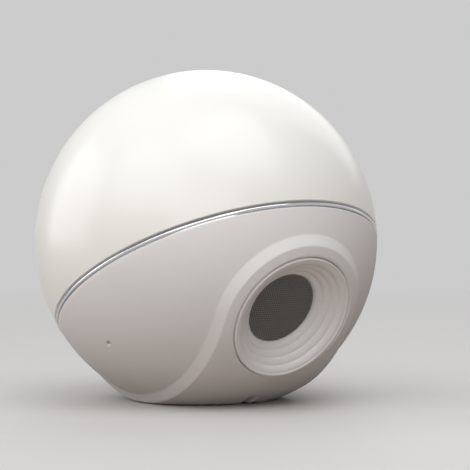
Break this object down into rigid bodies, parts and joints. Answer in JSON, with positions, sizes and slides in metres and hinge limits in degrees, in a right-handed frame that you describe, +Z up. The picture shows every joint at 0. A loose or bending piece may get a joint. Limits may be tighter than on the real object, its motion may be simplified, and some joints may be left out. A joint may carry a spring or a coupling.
{
  "type": "smart speaker",
  "caption": "Ball-shaped tabletop speaker: tilted opal dome over a satin white housing with a bright seam ring, a stepped horn and a perforated grille.",
  "frame": {"origin": "middle of the rubber foot's underside, on the table", "axes": "+Z up; the horn faces -Y; +X is the right side of a person who looks along +Y"},
  "size_m": [0.115, 0.1164, 0.1109],
  "materials": {
    "dome_opal": "gloss opal moulding, smooth",
    "gasket_rubber": "soft matt rubber",
    "trim_chrome": "bright plated",
    "housing_white": "fine satin moulding",
    "inner_plastic": "matt moulding",
    "screw_steel": "plated steel",
    "foot_rubber": "matt rubber",
    "ballast_steel": "cast blank, oiled",
    "horn_white": "satin moulding",
    "grille_steel": "satin powder coat",
    "gasket_foam": "closed-cell foam",
    "basket_steel": "pressed steel, satin",
    "surround_rubber": "satin butyl",
    "cone_paper": "pressed paper",
    "cap_paper": "coated paper",
    "former_film": "heat-proof film",
    "coil_copper": "enamelled copper wire",
    "spider_cloth": "resin-set cloth",
    "plated_steel": "zinc plated",
    "magnet_ferrite": "ground ferrite",
    "terminal_brass": "tinned tabs on a fibre strip",
    "chamber_plastic": "matt moulding",
    "board_green": "solder mask",
    "chip_black": "moulded package",
    "shield_tin": "tinned sheet",
    "pad_silicone": "soft silicone",
    "spreader_aluminium": "extruded",
    "connector_cream": "nylon",
    "capacitor_can": "sleeved can",
    "antenna_board": "bare laminate with copper",
    "tray_white": "reflecting white",
    "board_white": "white solder mask",
    "led_phosphor": "phosphor under clear resin",
    "diffuser_milk": "milk-white moulding",
    "capsule_brass": "plated can",
    "jack_black": "nylon",
    "pin_nickel": "nickel plated",
    "button_white": "satin moulding",
    "stem_red": "nylon",
    "lead_black": "PVC sleeve",
    "lead_red": "PVC sleeve",
    "lead_grey": "PVC sleeve"
  },
  "bodies": {
    "housing": {"dome_shell": "dome_opal", "dome_gasket": "gasket_rubber", "trim_ring": "trim_chrome", "lower_housing": "housing_white", "base_plate": "inner_plastic", "base_screws": "screw_steel", "rubber_foot": "foot_rubber", "ballast_weight": "ballast_steel", "horn_bezel": "horn_white", "grille_mesh": "grille_steel", "driver_gasket": "gasket_foam", "driver_basket": "basket_steel", "driver_surround": "surround_rubber", "driver_spider": "spider_cloth", "top_plate": "plated_steel", "driver_magnet": "magnet_ferrite", "driver_yoke": "plated_steel", "driver_terminals": "terminal_brass", "driver_screws": "screw_steel", "rear_chamber": "chamber_plastic", "chamber_screws": "screw_steel", "deck_frame": "inner_plastic", "deck_screws": "screw_steel", "main_board": "board_green", "board_screws": "screw_steel", "processor_chip": "chip_black", "shield_can": "shield_tin", "thermal_pad": "pad_silicone", "heat_spreader": "spreader_aluminium", "board_connectors": "connector_cream", "board_capacitors": "capacitor_can", "wifi_antenna": "antenna_board", "light_tray": "tray_white", "tray_screws": "screw_steel", "light_board": "board_white", "light_leds": "led_phosphor", "light_diffuser": "diffuser_milk", "mic_boot": "gasket_rubber", "mic_board": "board_green", "mic_capsule": "capsule_brass", "power_board": "board_green", "power_board_screws": "screw_steel", "power_jack": "jack_black", "jack_pin": "pin_nickel", "reset_switch": "jack_black", "speaker_lead": "lead_black", "power_lead": "lead_red", "mic_lead": "lead_grey", "light_lead": "lead_grey"},
    "cone": {"driver_cone": "cone_paper", "dust_cap": "cap_paper", "coil_former": "former_film", "voice_coil": "coil_copper"},
    "reset_key": {"reset_button": "button_white", "switch_stem": "stem_red"}
  },
  "joints": [
    {"name": "cone_travel", "type": "slide", "parent": "housing", "child": "cone", "axis": [0, -0.9018, -0.4321], "range_m": [-0.0012, 0.0012], "stiffness_N_per_m": 500, "deforming": ["driver_surround", "driver_spider"]},
    {"name": "reset_press", "type": "slide", "parent": "housing", "child": "reset_key", "axis": [0, 0, 1], "range_m": [0, 0.0005], "stiffness_N_per_m": 1500}
  ]
}
